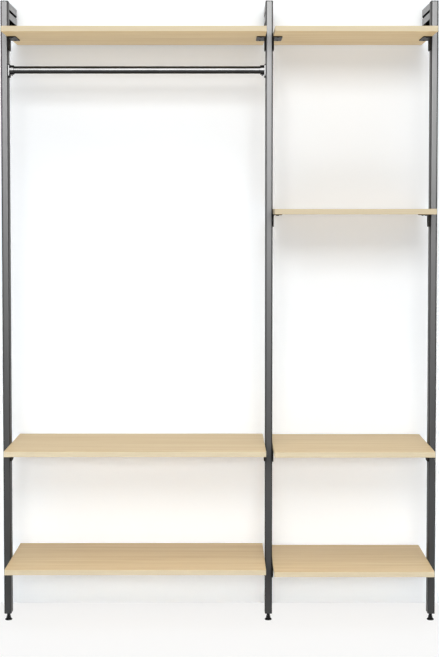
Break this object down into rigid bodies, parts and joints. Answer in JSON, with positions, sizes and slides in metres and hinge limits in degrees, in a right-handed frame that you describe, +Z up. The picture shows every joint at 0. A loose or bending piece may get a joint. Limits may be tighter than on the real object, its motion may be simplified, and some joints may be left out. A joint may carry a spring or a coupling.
{
  "type": "closet system",
  "caption": "Open wall-anchored closet system: slotted dark posts on levelling feet, pale boards on sliding brackets, and a hanging rod under the top board.",
  "frame": {"origin": "on the floor, midway between the outer posts, midway between the boards' front edges and the wall", "axes": "+X to the right seen from the front, +Y towards the wall, +Z up"},
  "size_m": [1.487, 0.36, 2.128],
  "materials": {
    "post": "anthracite satin coat",
    "bracket": "black powder coat",
    "board": "pale birch foil, satin",
    "rod": "black gloss coat",
    "plastic": "moulded black",
    "fastener": "black zinc"
  },
  "bodies": {
    "frame": {"left_post": "post", "left_post_cap": "plastic", "left_wall_arm": "post", "left_wall_connector": "plastic", "centre_post": "post", "centre_post_cap": "plastic", "centre_wall_arm": "post", "centre_wall_connector": "plastic", "right_post": "post", "right_post_cap": "plastic", "right_wall_arm": "post", "right_wall_connector": "plastic", "post_connectors": "plastic", "post_connector_screws": "fastener", "arm_lock_screws": "fastener"},
    "left_foot_pad": {"left_foot_pad": "plastic"},
    "left_foot_stem": {"left_foot_stem": "fastener"},
    "centre_foot_pad": {"centre_foot_pad": "plastic"},
    "centre_foot_stem": {"centre_foot_stem": "fastener"},
    "right_foot_pad": {"right_foot_pad": "plastic"},
    "right_foot_stem": {"right_foot_stem": "fastener"},
    "top_left_shelf": {"top_left_shelf": "board", "top_left_bracket_left": "bracket", "top_left_bracket_right": "bracket", "top_left_clamp_screws": "fastener", "top_left_board_screws": "fastener"},
    "top_right_shelf": {"top_right_shelf": "board", "top_right_bracket_left": "bracket", "top_right_bracket_right": "bracket", "top_right_clamp_screws": "fastener", "top_right_board_screws": "fastener"},
    "middle_shelf": {"middle_shelf": "board", "middle_bracket_left": "bracket", "middle_bracket_right": "bracket", "middle_clamp_screws": "fastener", "middle_board_screws": "fastener"},
    "lower_left_shelf": {"lower_left_shelf": "board", "lower_left_bracket_left": "bracket", "lower_left_bracket_right": "bracket", "lower_left_clamp_screws": "fastener", "lower_left_board_screws": "fastener"},
    "lower_right_shelf": {"lower_right_shelf": "board", "lower_right_bracket_left": "bracket", "lower_right_bracket_right": "bracket", "lower_right_clamp_screws": "fastener", "lower_right_board_screws": "fastener"},
    "bottom_left_shelf": {"bottom_left_shelf": "board", "bottom_left_bracket_left": "bracket", "bottom_left_bracket_right": "bracket", "bottom_left_clamp_screws": "fastener", "bottom_left_board_screws": "fastener"},
    "bottom_right_shelf": {"bottom_right_shelf": "board", "bottom_right_bracket_left": "bracket", "bottom_right_bracket_right": "bracket", "bottom_right_clamp_screws": "fastener", "bottom_right_board_screws": "fastener"},
    "hanging_rod": {"hanging_rod": "rod", "rod_holder_left": "rod", "rod_holder_right": "rod", "rod_holder_screws": "fastener"}
  },
  "joints": [
    {"name": "top_left_shelf_height", "type": "slide", "parent": "frame", "child": "top_left_shelf", "axis": [0, 0, 1], "range_m": [-0.02, 0.115]},
    {"name": "top_right_shelf_height", "type": "slide", "parent": "frame", "child": "top_right_shelf", "axis": [0, 0, 1], "range_m": [-0.265, 0.115]},
    {"name": "middle_shelf_height", "type": "slide", "parent": "frame", "child": "middle_shelf", "axis": [0, 0, 1], "range_m": [-0.365, 0.265]},
    {"name": "lower_left_shelf_height", "type": "slide", "parent": "frame", "child": "lower_left_shelf", "axis": [0, 0, 1], "range_m": [-0.165, 0.6]},
    {"name": "lower_right_shelf_height", "type": "slide", "parent": "frame", "child": "lower_right_shelf", "axis": [0, 0, 1], "range_m": [-0.165, 0.365]},
    {"name": "bottom_left_shelf_height", "type": "slide", "parent": "frame", "child": "bottom_left_shelf", "axis": [0, 0, 1], "range_m": [-0.126, 0.165]},
    {"name": "bottom_right_shelf_height", "type": "slide", "parent": "frame", "child": "bottom_right_shelf", "axis": [0, 0, 1], "range_m": [-0.12, 0.165]},
    {"name": "hanging_rod_height", "type": "slide", "parent": "frame", "child": "hanging_rod", "axis": [0, 0, 1], "range_m": [-0.6, 0.02]},
    {"name": "left_foot_travel", "type": "slide", "parent": "frame", "child": "left_foot_pad", "axis": [0, 0, 1], "range_m": [-0.01, 0.008]},
    {"name": "left_foot_turn", "type": "hinge", "parent": "left_foot_pad", "child": "left_foot_stem", "pos_m": [-0.731, -0.0115, 0.026], "axis": [0, 0, 1], "range_deg": [-2410, 1930]},
    {"name": "centre_foot_travel", "type": "slide", "parent": "frame", "child": "centre_foot_pad", "axis": [0, 0, 1], "range_m": [-0.01, 0.008]},
    {"name": "centre_foot_turn", "type": "hinge", "parent": "centre_foot_pad", "child": "centre_foot_stem", "pos_m": [0.169, -0.0115, 0.026], "axis": [0, 0, 1], "range_deg": [-2410, 1930]},
    {"name": "right_foot_travel", "type": "slide", "parent": "frame", "child": "right_foot_pad", "axis": [0, 0, 1], "range_m": [-0.01, 0.008]},
    {"name": "right_foot_turn", "type": "hinge", "parent": "right_foot_pad", "child": "right_foot_stem", "pos_m": [0.731, -0.0115, 0.026], "axis": [0, 0, 1], "range_deg": [-2410, 1930]}
  ],
  "couplings": [
    {"joint": "left_foot_turn", "follows": "left_foot_travel", "rad_per_m": 4188.8},
    {"joint": "centre_foot_turn", "follows": "centre_foot_travel", "rad_per_m": 4188.8},
    {"joint": "right_foot_turn", "follows": "right_foot_travel", "rad_per_m": 4188.8}
  ]
}
